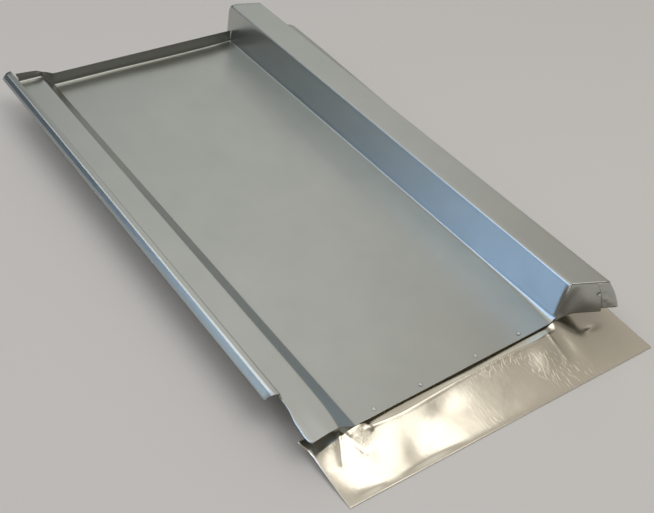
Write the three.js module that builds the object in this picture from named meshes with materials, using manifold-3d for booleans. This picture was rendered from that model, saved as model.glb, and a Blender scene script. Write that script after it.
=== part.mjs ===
// Sheet-metal roof tile: one folded galvanised plate that stands in for a clay tile, with a soft
// aluminium apron riveted under its front edge and two hooks under its rear that hang on the batten.
// Millimetres, +Z up. X runs across the roof, Y from the eaves side (front) to the ridge side (back).
// Everything is drawn from the front left corner of the tray, at the tray's upper surface, and the
// whole tile is then moved so that the origin is the middle of the surface that it stands on.

import * as THREE from 'three';
import Module from 'manifold-3d';

const wasm = await Module();
wasm.setup();

// Driving dimensions.
const sheet = 0.6;                 // thickness of the galvanised sheet
const trayWidth = 174;             // flat tray, from the foot of the step to the foot of the rib
const trayLength = 420;
const standHeight = 15;            // tray's upper surface above the surface that the tile stands on

const stepRun = 10.6;              // sloping step between the tray and the side channel
const stepFlare = 3;               // how much wider the step gets at its front end
const stepBend = 2.5;
const channelWidth = 19.6;
const channelRiseFront = 7;        // side channel's height above the tray
const channelRiseBack = 11;

const hemHeight = 6.3;             // side hem above the channel
const hemRun = 2.1;                // lean of the hem's inner wall
const hemTopWidth = 4.7;
const hemLean = 2.4;               // lean of the hem's outer wall
const hemLift = 1.4;               // outer wall's free lower edge above the channel
const hemBend = 1.5;
const hemStart = 37;               // the hem stops this far behind the front edge
const hemTail = 8;                 // and runs on this far behind the tray's rear edge

const lipReach = 4.2;              // free edge of the channel in front of the hem, turned up a little
const lipRise = 2;
const lipThickness = 0.5;

const ribHeight = 34;
const ribLean = 1.9;               // the rib's inner wall leans outwards by this much
const ribTopWidth = 27;
const ribBend = 1.3;
const ribFootBendFront = 4;
const ribFootBendBack = 1.5;
const ribSkew = 0.46;              // the rib's front end runs obliquely: forward per unit across
const ribRearFoot = 6;             // the rib's inner wall ends behind the tray: at its foot,
const ribRearInner = 3;            // at its upper edge,
const ribRearOuter = -4;           // and the rib's top at its outer edge

const flangeWidth = 13.5;          // outer flange, which slopes down over the neighbouring tile
const flangeDrop = 24.5;
const flangeBulge = 1.5;           // convexity at the front
const flangeFlareWidth = 16;       // at the back the flange is sprung open
const flangeFlareDrop = 21;
const flangeFlareStart = 150;      // from here backwards it opens
const notchLength = 46;            // flange cut away at the rear

const upstandLeft = 9;             // rear upstand's height above the tray, left and right
const upstandRight = 11.6;
const upstandChannel = 6.3;        // and above the side channel

const capFoot = 5.8;               // lower edge of the rib's folded end cap
const capFootRun = 13;             // over which it rises from the tray's level
const tabTopWidth = 8.3;           // corner tab folded from the flange over the end cap
const tabFootWidth = 12;

const apronThickness = 0.4;
const apronOverhangLeft = 30;      // beyond the tray's left and right ends
const apronOverhangRight = 57;
const apronTuck = 12;              // under the plate
const apronReachLeft = 37.5;       // in front of the plate's front edge
const apronReachRight = 46;
const apronDropLeft = 9;           // how far its free corners hang under the plate's level
const apronDropRight = 11;

const rivetShank = 1.1;            // radii
const rivetHead = 1.8;
const rivetHeadHeight = 0.6;
const rivetInset = 4.3;            // behind the front edge
const rivetShares = [0.103, 0.32, 0.595, 0.825];   // places along the front edge

const hookSheet = 1.5;
const hookWidth = 32;
const hookSeat = 15;               // flange that is spot-welded under the tray
const hookInset = 22;              // hook's bearing face in front of the tray's rear edge
const hookShares = [0.2, 0.8];     // places across the tray

const clearance = 0.3;             // between neighbouring pieces
const arcSteps = 4;
const rowCount = 24;

const galvanised = { color: 0x9fa3a0, roughness: 0.34, metalness: 0.9 };
const softAluminium = { color: 0xcfc9b8, roughness: 0.16, metalness: 1 };
const rivetMetal = { color: 0xa7a9a6, roughness: 0.3, metalness: 0.95 };
const hookSteel = { color: 0x8f9391, roughness: 0.45, metalness: 0.9 };

const lerp = THREE.MathUtils.lerp;
const point = (x, y, z) => new THREE.Vector3(x, y, z);

// Places that several pieces share.
const ribTopLeft = trayWidth + ribLean;
const ribTopRight = ribTopLeft + ribTopWidth;
const channelOuter = -stepRun - channelWidth;

/** How far forward of the tray's front edge the rib's front end lies at a place across it. */
function ribFront(x) {
  return -ribSkew * Math.max(0, x - ribTopLeft);
}

/** Height of the side channel at a distance from the front edge. */
function channelHeight(y) {
  return lerp(channelRiseFront, channelRiseBack, THREE.MathUtils.clamp(y / trayLength, 0, 1));
}

/** A polyline of the section with its inner corners rounded; each corner is [x, z, bend radius]. */
function roundedSection(corners) {
  const line = [];
  corners.forEach(([x, z, radius], k) => {
    if (!radius) {
      line.push(new THREE.Vector2(x, z));
      return;
    }
    const here = new THREE.Vector2(x, z);
    const before = new THREE.Vector2(corners[k - 1][0], corners[k - 1][1]).sub(here).normalize();
    const after = new THREE.Vector2(corners[k + 1][0], corners[k + 1][1]).sub(here).normalize();
    const half = Math.acos(THREE.MathUtils.clamp(before.dot(after), -1, 1)) / 2;
    const reach = radius / Math.tan(half);
    const centre = before.clone().add(after).normalize().multiplyScalar(radius / Math.sin(half)).add(here);
    const start = before.multiplyScalar(reach).add(here).sub(centre);
    const end = after.multiplyScalar(reach).add(here).sub(centre);
    const turn = Math.atan2(start.cross(end), start.dot(end));
    for (let step = 0; step <= arcSteps; step += 1) {
      line.push(start.clone().rotateAround(new THREE.Vector2(), turn * step / arcSteps).add(centre));
    }
  });
  return line;
}

/** A sheet of even thickness about a grid of points; rows[j][i] runs across, j along. */
function sheetFromGrid(rows, thickness) {
  const tall = rows.length;
  const wide = rows[0].length;
  const positions = [];
  const normalAt = (j, i) => {
    const across = rows[j][Math.min(i + 1, wide - 1)].clone().sub(rows[j][Math.max(i - 1, 0)]);
    const along = rows[Math.min(j + 1, tall - 1)][i].clone().sub(rows[Math.max(j - 1, 0)][i]);
    return across.cross(along).normalize();
  };
  for (const side of [0.5, -0.5]) {
    for (let j = 0; j < tall; j += 1) {
      for (let i = 0; i < wide; i += 1) {
        const vertex = normalAt(j, i).multiplyScalar(side * thickness).add(rows[j][i]);
        positions.push(vertex.x, vertex.y, vertex.z);
      }
    }
  }
  const under = tall * wide;
  const at = (j, i) => j * wide + i;
  const triangles = [];
  const quad = (a, b, c, d) => triangles.push(a, b, c, a, c, d);
  for (let j = 0; j < tall - 1; j += 1) {
    for (let i = 0; i < wide - 1; i += 1) {
      quad(at(j, i), at(j, i + 1), at(j + 1, i + 1), at(j + 1, i));
      quad(under + at(j, i), under + at(j + 1, i), under + at(j + 1, i + 1), under + at(j, i + 1));
    }
  }
  for (let i = 0; i < wide - 1; i += 1) {
    const last = tall - 1;
    quad(at(0, i), under + at(0, i), under + at(0, i + 1), at(0, i + 1));
    quad(at(last, i + 1), under + at(last, i + 1), under + at(last, i), at(last, i));
  }
  for (let j = 0; j < tall - 1; j += 1) {
    const last = wide - 1;
    quad(at(j + 1, 0), under + at(j + 1, 0), under + at(j, 0), at(j, 0));
    quad(at(j, last), under + at(j, last), under + at(j + 1, last), at(j + 1, last));
  }
  return new wasm.Manifold(new wasm.Mesh({
    numProp: 3,
    vertProperties: new Float32Array(positions),
    triVerts: new Uint32Array(triangles),
  }));
}

/** A closed three.js geometry as a solid that can be cut and joined. */
function solidFromGeometry(geometry) {
  const keys = new Map();
  const positions = [];
  const remap = [];
  const source = geometry.getAttribute('position');
  for (let k = 0; k < source.count; k += 1) {
    const vertex = [source.getX(k), source.getY(k), source.getZ(k)];
    const key = vertex.map((value) => Math.round(value * 1e4)).join();
    if (!keys.has(key)) {
      keys.set(key, positions.length / 3);
      positions.push(...vertex);
    }
    remap.push(keys.get(key));
  }
  const order = geometry.index ? Array.from(geometry.index.array) : remap.map((_, k) => k);
  const triangles = [];
  for (let k = 0; k < order.length; k += 3) {
    const corner = [remap[order[k]], remap[order[k + 1]], remap[order[k + 2]]];
    if (new Set(corner).size === 3) triangles.push(...corner);
  }
  return new wasm.Manifold(new wasm.Mesh({
    numProp: 3,
    vertProperties: new Float32Array(positions),
    triVerts: new Uint32Array(triangles),
  }));
}

/** A solid back as a three.js geometry. */
function geometryFromSolid(solid) {
  const mesh = solid.getMesh();
  const geometry = new THREE.BufferGeometry();
  geometry.setAttribute('position', new THREE.BufferAttribute(mesh.vertProperties, mesh.numProp));
  geometry.setIndex(new THREE.BufferAttribute(mesh.triVerts, 1));
  geometry.computeVertexNormals();
  return geometry;
}

/** A block between two corners, for cutting. */
function block(low, high) {
  const size = high.clone().sub(low);
  const middle = high.clone().add(low).multiplyScalar(0.5);
  return solidFromGeometry(
    new THREE.BoxGeometry(size.x, size.y, size.z).translate(middle.x, middle.y, middle.z),
  );
}

/** A named mesh in its own material. */
function namedMesh(name, geometry, finish) {
  const mesh = new THREE.Mesh(geometry, new THREE.MeshStandardMaterial(finish));
  mesh.name = name;
  return mesh;
}

/** Outer flange's section at a distance from the front edge, from the rib's top to its free edge. */
function flangeSection(y) {
  const reach = trayLength - notchLength - flangeFlareStart;
  const open = THREE.MathUtils.smoothstep((y - flangeFlareStart) / reach, 0, 1);
  const start = new THREE.Vector2(ribTopRight, ribHeight);
  const width = lerp(flangeWidth, flangeFlareWidth, open);
  const drop = lerp(flangeDrop, flangeFlareDrop, open);
  const end = new THREE.Vector2(ribTopRight + width, ribHeight - drop);
  const straight = start.clone().add(end).multiplyScalar(0.5).add(new THREE.Vector2(flangeBulge, flangeBulge));
  const sprung = new THREE.Vector2(ribTopRight + 0.85 * flangeFlareWidth, ribHeight - 0.1 * flangeFlareDrop);
  const curve = new THREE.QuadraticBezierCurve(start, straight.lerp(sprung, open), end);
  return [0.2, 0.4, 0.6, 0.8, 1].map((share) => curve.getPoint(share));
}

/** Mid-line of the plate's section: hem, channel, step, tray, rib and flange. */
function plateSection(y) {
  const channel = channelHeight(y);
  const top = channel + hemHeight;
  const stepTop = -stepRun - stepFlare * Math.exp(-y / 12);
  const foot = lerp(ribFootBendBack, ribFootBendFront, Math.exp(-y / 25));
  const flange = flangeSection(y).map((place) => [place.x, place.y, 0]);
  const hemInner = channelOuter - hemRun;
  const hemOuter = hemInner - hemTopWidth;
  return roundedSection([
    [hemOuter - hemLean, channel + hemLift, 0],
    [hemOuter, top, hemBend],
    [hemInner, top, hemBend],
    [channelOuter, channel, hemBend / 2],
    [stepTop, channel, stepBend],
    [0, 0, stepBend],
    [trayWidth, 0, foot],
    [ribTopLeft, ribHeight, ribBend],
    [ribTopRight, ribHeight, ribBend / 2],
    ...flange,
  ]).map((place) => new THREE.Vector2(place.x, place.y - sheet / 2));
}

/** Rear end of the plate at a place of its section. */
function plateRear(x, z) {
  if (x < channelOuter) return trayLength + hemTail;
  if (x < trayWidth) return trayLength;
  const up = THREE.MathUtils.clamp(z / ribHeight, 0, 1);
  const across = THREE.MathUtils.clamp((x - ribTopLeft) / ribTopWidth, 0, 1);
  return trayLength + lerp(lerp(ribRearFoot, ribRearInner, up), ribRearOuter, across);
}

/** The folded plate without its end pieces. */
function foldedSheet() {
  const rows = [];
  for (let j = 0; j <= rowCount; j += 1) {
    const share = (j / rowCount) ** 1.5;
    const section = plateSection(share * trayLength);
    rows.push(section.map((place) => {
      const y = lerp(ribFront(place.x), plateRear(place.x, place.y), share);
      return point(place.x, y, place.y);
    }));
  }
  const hemGap = block(point(-200, -50, -50), point(channelOuter + hemBend / 2, hemStart, 100));
  const notch = block(
    point(ribTopRight + sheet, trayLength - notchLength, -50),
    point(ribTopRight + 200, trayLength + 50, 100),
  );
  return sheetFromGrid(rows, sheet).subtract(hemGap).subtract(notch);
}

/** Free edge of the side channel in front of the hem, with its rounded corner. */
function channelLip() {
  const rows = [];
  for (let j = 0; j <= 8; j += 1) {
    const share = Math.sin(j / 8 * Math.PI / 2);
    const y = lerp(hemStart, 0, share);
    const corner = Math.sqrt(Math.max(0, 1 - THREE.MathUtils.clamp(1 - y / lipReach, 0, 1) ** 2));
    const reach = lerp(0.3, 1, share) * lipReach * lerp(0.55, 1, corner);
    rows.push([0, 0.35, 0.7, 1].map((across) => point(
      channelOuter + 2 - across * (reach + 2),
      y,
      channelHeight(y) - sheet / 2 + lipRise * share * Math.max(0, across - 0.3) ** 1.5,
    )));
  }
  return sheetFromGrid(rows, lipThickness);
}

/** Height of the rear upstand's top edge above the plate at a place across it. */
function upstandHeight(x) {
  const onTray = lerp(upstandLeft, upstandRight, THREE.MathUtils.clamp(x / trayWidth, 0, 1));
  return lerp(upstandChannel, onTray, THREE.MathUtils.smoothstep(x, -stepRun, 0));
}

/** Rear edge of the tray, step and channel, folded up. */
function rearUpstand() {
  const foot = plateSection(trayLength).filter((place) => (
    place.x > channelOuter && place.x < trayWidth + ribLean && place.y < channelRiseBack + 1
  ));
  const bottom = foot.map((place) => point(place.x, trayLength - 0.6 * sheet, place.y));
  const top = bottom.map((place) => point(place.x, place.y, place.z + upstandHeight(place.x)));
  return sheetFromGrid([top, bottom], sheet);
}

/** Folded flap that closes the rib's front end. */
function ribEndCap() {
  const rows = [];
  for (let j = 0; j <= 4; j += 1) {
    const row = [];
    for (let i = 0; i <= 8; i += 1) {
      const across = i / 8;
      const topX = lerp(ribTopLeft, ribTopRight, across);
      const footX = lerp(trayWidth, ribTopRight + 2, across);
      const rise = capFoot * THREE.MathUtils.smoothstep(footX - trayWidth, 0, capFootRun);
      const x = lerp(topX, footX, j / 4);
      const z = lerp(ribHeight - sheet / 2, rise - sheet / 2, j / 4);
      row.push(point(x, ribFront(x) + 0.6 * sheet, z));
    }
    rows.push(row);
  }
  return sheetFromGrid(rows, sheet);
}

/** Corner tab folded from the flange's front end over the end cap. */
function cornerTab() {
  const edge = [new THREE.Vector2(ribTopRight, ribHeight), ...flangeSection(0)];
  const outer = edge.map((place) => point(place.x, 0, place.y - sheet / 2));
  const inner = edge.map((place, k) => {
    const share = k / (edge.length - 1);
    return point(place.x - lerp(tabTopWidth, tabFootWidth, share), 0, place.y - sheet / 2);
  });
  const lay = (place) => point(place.x, ribFront(place.x) - 0.3 * sheet, place.z);
  return sheetFromGrid([inner.map(lay), outer.map(lay)], sheet);
}

/** A rivet along Z about its own middle: grip is the thickness between its two heads. */
function rivetGeometry(grip) {
  const half = grip / 2;
  const dome = (sign) => [0, 1, 2, 3].map((k) => {
    const angle = k / 3 * Math.PI / 2;
    return new THREE.Vector2(rivetHead * Math.cos(angle), sign * (half + rivetHeadHeight * Math.sin(angle)));
  });
  const profile = [
    ...dome(-1).reverse(),
    new THREE.Vector2(rivetShank, -half),
    new THREE.Vector2(rivetShank, half),
    ...dome(1),
  ];
  profile[0].x = 0;
  profile[profile.length - 1].x = 0;
  return new THREE.LatheGeometry(profile, 16).rotateX(Math.PI / 2);
}

/** Where each apron rivet stands. */
function apronRivetPlaces() {
  return rivetShares.map((share) => point(share * trayWidth, rivetInset, 0));
}

/** Place and direction of the rivet through the corner tab and the end cap. */
function ribRivetPlace() {
  const x = ribTopRight - tabTopWidth / 2;
  const middle = point(x, ribFront(x) + 0.15 * sheet, ribHeight - ribHeight / 3);
  const outward = point(-ribSkew, -1, 0).normalize();
  return { middle, outward };
}

/** A round hole's cutter along a direction. */
function holeCutter(middle, direction) {
  const cutter = new THREE.CylinderGeometry(rivetShank + clearance, rivetShank + clearance, 12, 16);
  const turn = new THREE.Quaternion().setFromUnitVectors(point(0, 1, 0), direction);
  cutter.applyQuaternion(turn).translate(middle.x, middle.y, middle.z);
  return solidFromGeometry(cutter);
}

/** The whole galvanised plate, folded from one sheet. */
function coverPlate() {
  const ribRivet = ribRivetPlace();
  let plate = foldedSheet().add(channelLip()).add(rearUpstand()).add(ribEndCap()).add(cornerTab());
  plate = plate.subtract(holeCutter(ribRivet.middle, ribRivet.outward));
  for (const place of apronRivetPlaces()) {
    plate = plate.subtract(holeCutter(place, point(0, 0, 1)));
  }
  return namedMesh('cover_plate', geometryFromSolid(plate), galvanised);
}

/** Height of the apron's mid-surface. */
function apronHeight(x, share) {
  const tucked = -sheet - clearance - apronThickness / 2;
  const left = THREE.MathUtils.smoothstep(-x, 1, apronOverhangLeft) * apronDropLeft;
  const right = THREE.MathUtils.smoothstep(x - trayWidth, 1, apronOverhangRight) * apronDropRight;
  const fall = 1 - (1 - share) ** 1.7;
  return lerp(tucked - left - right, apronThickness / 2 - standHeight, fall);
}

/** The soft aluminium apron: tucked under the plate, falling forward onto the tile below. */
function apron() {
  const rows = [];
  const columns = 30;
  const forward = 9;
  const startX = -apronOverhangLeft;
  const endX = trayWidth + apronOverhangRight;
  for (let j = forward; j >= -1; j -= 1) {
    const row = [];
    for (let i = 0; i <= columns; i += 1) {
      const x = lerp(startX, endX, i / columns);
      const reach = lerp(apronReachLeft, apronReachRight, i / columns);
      const share = Math.max(0, j / forward);
      const y = j < 0 ? apronTuck : -reach * share;
      row.push(point(x, y, apronHeight(x, share)));
    }
    rows.push(row);
  }
  let solid = sheetFromGrid(rows, apronThickness);
  for (const place of apronRivetPlaces()) {
    solid = solid.subtract(holeCutter(place, point(0, 0, 1)));
  }
  return namedMesh('apron', geometryFromSolid(solid), softAluminium);
}

/** The rivets that hold the apron to the plate. */
function apronRivets() {
  const grip = sheet + clearance + apronThickness + 2 * clearance;
  return apronRivetPlaces().map((place, k) => {
    const rivet = namedMesh(`apron_rivet_${k + 1}`, rivetGeometry(grip), rivetMetal);
    rivet.position.set(place.x, place.y, clearance - grip / 2);
    return rivet;
  });
}

/** The rivet that closes the rib's front corner. */
function ribEndRivet() {
  const { middle, outward } = ribRivetPlace();
  const rivet = namedMesh('rib_end_rivet', rivetGeometry(1.9 * sheet + 2 * clearance), rivetMetal);
  rivet.position.copy(middle);
  rivet.quaternion.setFromUnitVectors(point(0, 0, 1), outward);
  return rivet;
}

/** A hook that hangs the tile on the batten: a seat under the tray and a leg down from it. */
function hangingHook(name, x) {
  const top = -sheet - clearance;
  const front = trayLength - hookInset;
  const outline = new THREE.Shape();
  outline.moveTo(front, -standHeight);
  outline.lineTo(front + hookSheet, -standHeight);
  outline.lineTo(front + hookSheet, top - hookSheet);
  outline.lineTo(front + hookSeat, top - hookSheet);
  outline.lineTo(front + hookSeat, top);
  outline.lineTo(front + hookSheet, top);
  outline.absarc(front + hookSheet, top - hookSheet, hookSheet, Math.PI / 2, Math.PI, false);
  outline.lineTo(front, -standHeight);
  const geometry = new THREE.ExtrudeGeometry(outline, {
    depth: hookWidth, bevelEnabled: false, curveSegments: 6,
  });
  geometry.applyMatrix4(new THREE.Matrix4().makeBasis(point(0, 1, 0), point(0, 0, 1), point(1, 0, 0)));
  const hook = namedMesh(name, geometry, hookSteel);
  hook.position.x = x - hookWidth / 2;
  return hook;
}

/** The tile, standing on z = 0 with the origin in the middle of its base. */
function roofTile() {
  const group = new THREE.Group();
  group.add(coverPlate(), apron(), ...apronRivets(), ribEndRivet());
  group.add(hangingHook('hanging_hook_left', hookShares[0] * trayWidth));
  group.add(hangingHook('hanging_hook_right', hookShares[1] * trayWidth));
  const box = new THREE.Box3().setFromObject(group, true);
  const middle = box.getCenter(new THREE.Vector3());
  group.position.set(-middle.x, -middle.y, -box.min.z);
  return group;
}

const group = roofTile();

export default group;
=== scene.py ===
"""Sheet-metal roof tile: the looks of its folded plate, soft apron, rivets and batten hooks.

Sizes inside the classes are in millimetres from the front left corner of the tray, at the
tray's upper surface: X across the roof, Y from eaves to ridge, Z up. TileDatum turns them into
the frame's metres.
"""

import logging
import math
from dataclasses import dataclass, field
from enum import Enum
import bpy
import numpy as np
from mathutils import Matrix, Vector


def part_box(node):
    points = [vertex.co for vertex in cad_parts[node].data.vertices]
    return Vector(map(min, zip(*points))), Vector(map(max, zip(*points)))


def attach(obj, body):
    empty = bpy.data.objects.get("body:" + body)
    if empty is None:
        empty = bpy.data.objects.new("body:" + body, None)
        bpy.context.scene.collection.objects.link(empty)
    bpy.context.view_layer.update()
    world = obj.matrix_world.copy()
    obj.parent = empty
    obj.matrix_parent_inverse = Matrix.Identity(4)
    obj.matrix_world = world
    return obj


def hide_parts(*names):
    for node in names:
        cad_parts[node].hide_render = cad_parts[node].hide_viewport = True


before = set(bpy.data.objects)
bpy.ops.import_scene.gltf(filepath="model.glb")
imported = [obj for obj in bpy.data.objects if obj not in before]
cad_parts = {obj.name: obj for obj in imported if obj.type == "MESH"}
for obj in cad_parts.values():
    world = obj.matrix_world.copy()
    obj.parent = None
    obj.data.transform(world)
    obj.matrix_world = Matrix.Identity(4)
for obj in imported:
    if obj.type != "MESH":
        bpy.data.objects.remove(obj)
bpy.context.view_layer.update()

MM = 0.001
LOG = logging.getLogger("roof_tile")


# ---------------------------------------------------------------------------------------------
# Small helpers
# ---------------------------------------------------------------------------------------------


def linear(hex_colour: str) -> tuple[float, float, float, float]:
    """Turn an sRGB hex colour into linear RGBA.

    Args:
        hex_colour: Six hex digits after a hash sign.

    Returns:
        The colour as Blender's sockets take it.
    """
    digits = hex_colour.lstrip("#")
    channels = [int(digits[k:k + 2], 16) / 255 for k in (0, 2, 4)]
    turned = [c / 12.92 if c <= 0.04045 else ((c + 0.055) / 1.055) ** 2.4 for c in channels]
    return (turned[0], turned[1], turned[2], 1.0)


def add_node(
    tree: bpy.types.NodeTree,
    kind: str,
    settings: dict | None = None,
    links: dict | None = None,
) -> bpy.types.Node:
    """Add one node to a tree.

    Args:
        tree: The node tree that gets it.
        kind: The node's bl_idname.
        settings: Attribute names, or input names or numbers, with their values.
        links: Input names or numbers, each with the output socket that feeds it.

    Returns:
        The new node.
    """
    node = tree.nodes.new(kind)
    for key, value in (settings or {}).items():
        if isinstance(key, str) and hasattr(node, key):
            setattr(node, key, value)
        else:
            node.inputs[key].default_value = value
    for key, socket in (links or {}).items():
        tree.links.new(socket, node.inputs[key])
    return node


def smooth_step(value: np.ndarray | float, low: float, high: float) -> np.ndarray | float:
    """Ease from 0 at low to 1 at high."""
    share = np.clip((value - low) / (high - low), 0.0, 1.0)
    return share * share * (3 - 2 * share)


def blend(start: np.ndarray | float, end: np.ndarray | float, share: np.ndarray | float):
    """Mix two values, or two arrays, by a share from 0 to 1."""
    return start + (end - start) * share


# ---------------------------------------------------------------------------------------------
# Finishes
# ---------------------------------------------------------------------------------------------


@dataclass(frozen=True)
class MetalFinish:
    """What every bare metal here shares: a tint, a second tint in patches, and a polish."""

    name: str
    colour: str
    patch_colour: str
    roughness: float
    roughness_spread: float
    patch_mm: float
    grain_mm: float
    grain_stretch: float
    grain_depth_mm: float

    def start(self) -> tuple[bpy.types.Material, bpy.types.NodeTree, bpy.types.Node]:
        """Make the material with its shader.

        Returns:
            The material, its tree and its Principled shader.
        """
        material = bpy.data.materials.new(self.name)
        material.use_nodes = True
        tree = material.node_tree
        tree.nodes.clear()
        shader = add_node(tree, "ShaderNodeBsdfPrincipled", {"Metallic": 1.0})
        add_node(tree, "ShaderNodeOutputMaterial", {}, {"Surface": shader.outputs[0]})
        return material, tree, shader

    def build(self) -> bpy.types.Material:
        """Make the finish: patches in colour and polish, and a rolled grain in the surface.

        Returns:
            The material.
        """
        material, tree, shader = self.start()
        place = add_node(tree, "ShaderNodeTexCoord")
        patches = add_node(
            tree, "ShaderNodeTexNoise",
            {"Scale": 1 / (self.patch_mm * MM), "Detail": 3.0, "Roughness": 0.55},
            {"Vector": place.outputs["Object"]},
        )
        tint = add_node(
            tree, "ShaderNodeMix",
            {"data_type": "RGBA", 6: linear(self.colour), 7: linear(self.patch_colour)},
            {0: patches.outputs["Fac"]},
        )
        tree.links.new(tint.outputs[2], shader.inputs["Base Color"])
        grain_place = add_node(
            tree, "ShaderNodeMapping",
            {"Scale": (1.0, 1 / self.grain_stretch, 1.0)},
            {"Vector": place.outputs["Object"]},
        )
        grain = add_node(
            tree, "ShaderNodeTexNoise",
            {"Scale": 1 / (self.grain_mm * MM), "Detail": 4.0, "Roughness": 0.6},
            {"Vector": grain_place.outputs["Vector"]},
        )
        both = add_node(
            tree, "ShaderNodeMath", {"operation": "ADD"},
            {0: patches.outputs["Fac"], 1: grain.outputs["Fac"]},
        )
        polish = add_node(
            tree, "ShaderNodeMapRange",
            {1: 0.7, 2: 1.3,
             3: self.roughness - self.roughness_spread,
             4: self.roughness + self.roughness_spread},
            {0: both.outputs[0]},
        )
        tree.links.new(polish.outputs[0], shader.inputs["Roughness"])
        bump = add_node(
            tree, "ShaderNodeBump",
            {"Strength": 1.0, "Distance": self.grain_depth_mm * MM},
            {"Height": grain.outputs["Fac"]},
        )
        tree.links.new(bump.outputs[0], shader.inputs["Normal"])
        return material


@dataclass(frozen=True)
class SoftAluminiumFinish(MetalFinish):
    """Soft rolled aluminium strip: near mirror, with fine wrinkles and handling scratches."""

    wrinkle_mm: float = 9.0
    wrinkle_depth_mm: float = 0.05
    scratch_mm: float = 1.0
    scratch_stretch: float = 30.0
    scratch_region_mm: float = 45.0
    scratch_depth_mm: float = 0.025

    def build(self) -> bpy.types.Material:
        """Make the finish, adding wrinkles and scratches to the rolled metal.

        Returns:
            The material.
        """
        material = super().build()
        tree = material.node_tree
        shader = next(n for n in tree.nodes if n.bl_idname == "ShaderNodeBsdfPrincipled")
        grain_bump = shader.inputs["Normal"].links[0].from_node
        place = next(n for n in tree.nodes if n.bl_idname == "ShaderNodeTexCoord")
        wrinkles = add_node(
            tree, "ShaderNodeTexNoise",
            {"Scale": 1 / (self.wrinkle_mm * MM), "Detail": 2.0, "Roughness": 0.45},
            {"Vector": place.outputs["Object"]},
        )
        wrinkle_bump = add_node(
            tree, "ShaderNodeBump",
            {"Strength": 1.0, "Distance": self.wrinkle_depth_mm * MM},
            {"Height": wrinkles.outputs["Fac"], "Normal": grain_bump.outputs[0]},
        )
        scratch_place = add_node(
            tree, "ShaderNodeMapping",
            {"Scale": (1.0, 1 / self.scratch_stretch, 1.0), "Rotation": (0.0, 0.0, 0.12)},
            {"Vector": place.outputs["Object"]},
        )
        lines = add_node(
            tree, "ShaderNodeTexNoise",
            {"Scale": 1 / (self.scratch_mm * MM), "Detail": 0.0},
            {"Vector": scratch_place.outputs[0]},
        )
        cut = add_node(
            tree, "ShaderNodeMapRange", {1: 0.6, 2: 0.72, 3: 0.0, 4: 1.0},
            {0: lines.outputs["Fac"]},
        )
        region = add_node(
            tree, "ShaderNodeTexNoise",
            {"Scale": 1 / (self.scratch_region_mm * MM), "Detail": 0.0},
            {"Vector": place.outputs["Object"]},
        )
        there = add_node(
            tree, "ShaderNodeMapRange", {1: 0.48, 2: 0.58, 3: 0.0, 4: 1.0},
            {0: region.outputs["Fac"]},
        )
        scratches = add_node(
            tree, "ShaderNodeMath", {"operation": "MULTIPLY"},
            {0: cut.outputs[0], 1: there.outputs[0]},
        )
        scratch_bump = add_node(
            tree, "ShaderNodeBump",
            {"Strength": 1.0, "Distance": self.scratch_depth_mm * MM},
            {"Height": scratches.outputs[0], "Normal": wrinkle_bump.outputs[0]},
        )
        tree.links.new(scratch_bump.outputs[0], shader.inputs["Normal"])
        return material


@dataclass(frozen=True)
class FloorFinish:
    """Matt pale paper sweep."""

    name: str
    colour: str
    roughness: float

    def build(self) -> bpy.types.Material:
        """Make the paper: one pale tint.

        Returns:
            The material.
        """
        material = bpy.data.materials.new(self.name)
        material.use_nodes = True
        tree = material.node_tree
        shader = tree.nodes["Principled BSDF"]
        shader.inputs["Base Color"].default_value = linear(self.colour)
        shader.inputs["Roughness"].default_value = self.roughness
        return material


# Hot-dip galvanised steel sheet, skin-passed: a satin zinc grey with a faint green cast, its
# reflections wide and soft, and fine streaks along the rolling direction.
GALVANISED = MetalFinish(
    "galvanised_steel_skin_passed", "#BFC1BC", "#B6B9B4", 0.30, 0.025, 30.0, 1.2, 10.0, 0.0012,
)
# Sheared edge of the same sheet, its own cut metal and smoother, with its colour made brighter as a
# painted highlight so that each free edge draws a thin light line.
SHEARED_EDGE_AND_HIGHLIGHT = MetalFinish(
    "sheared_steel_edge_painted_highlight", "#D9D8D0", "#C4C3BC", 0.24, 0.05, 6.0, 0.8, 1.0, 0.004,
)
# Soft-annealed aluminium strip: bright and nearly mirror smooth, slightly warm.
SOFT_ALUMINIUM = SoftAluminiumFinish(
    "soft_annealed_aluminium", "#E9E4D6", "#DDD7C6", 0.19, 0.04, 18.0, 0.9, 6.0, 0.003,
)
# Blind rivet of plain aluminium, a little duller than the strip.
RIVET_ALUMINIUM = MetalFinish(
    "rivet_aluminium", "#D6D7D3", "#C6C8C5", 0.28, 0.05, 2.0, 0.5, 1.0, 0.003,
)
# Zinc-plated steel strip, bent: greyer and duller than the plate.
ZINC_PLATED_STRIP = MetalFinish(
    "zinc_plated_strip_steel", "#A9ADAC", "#989C9C", 0.42, 0.07, 9.0, 0.9, 8.0, 0.006,
)
# Matt paper floor.
PALE_PAPER = FloorFinish("matt_pale_paper", "#E9E8E7", 0.85)


# ---------------------------------------------------------------------------------------------
# Datum and sheet builder
# ---------------------------------------------------------------------------------------------


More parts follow.
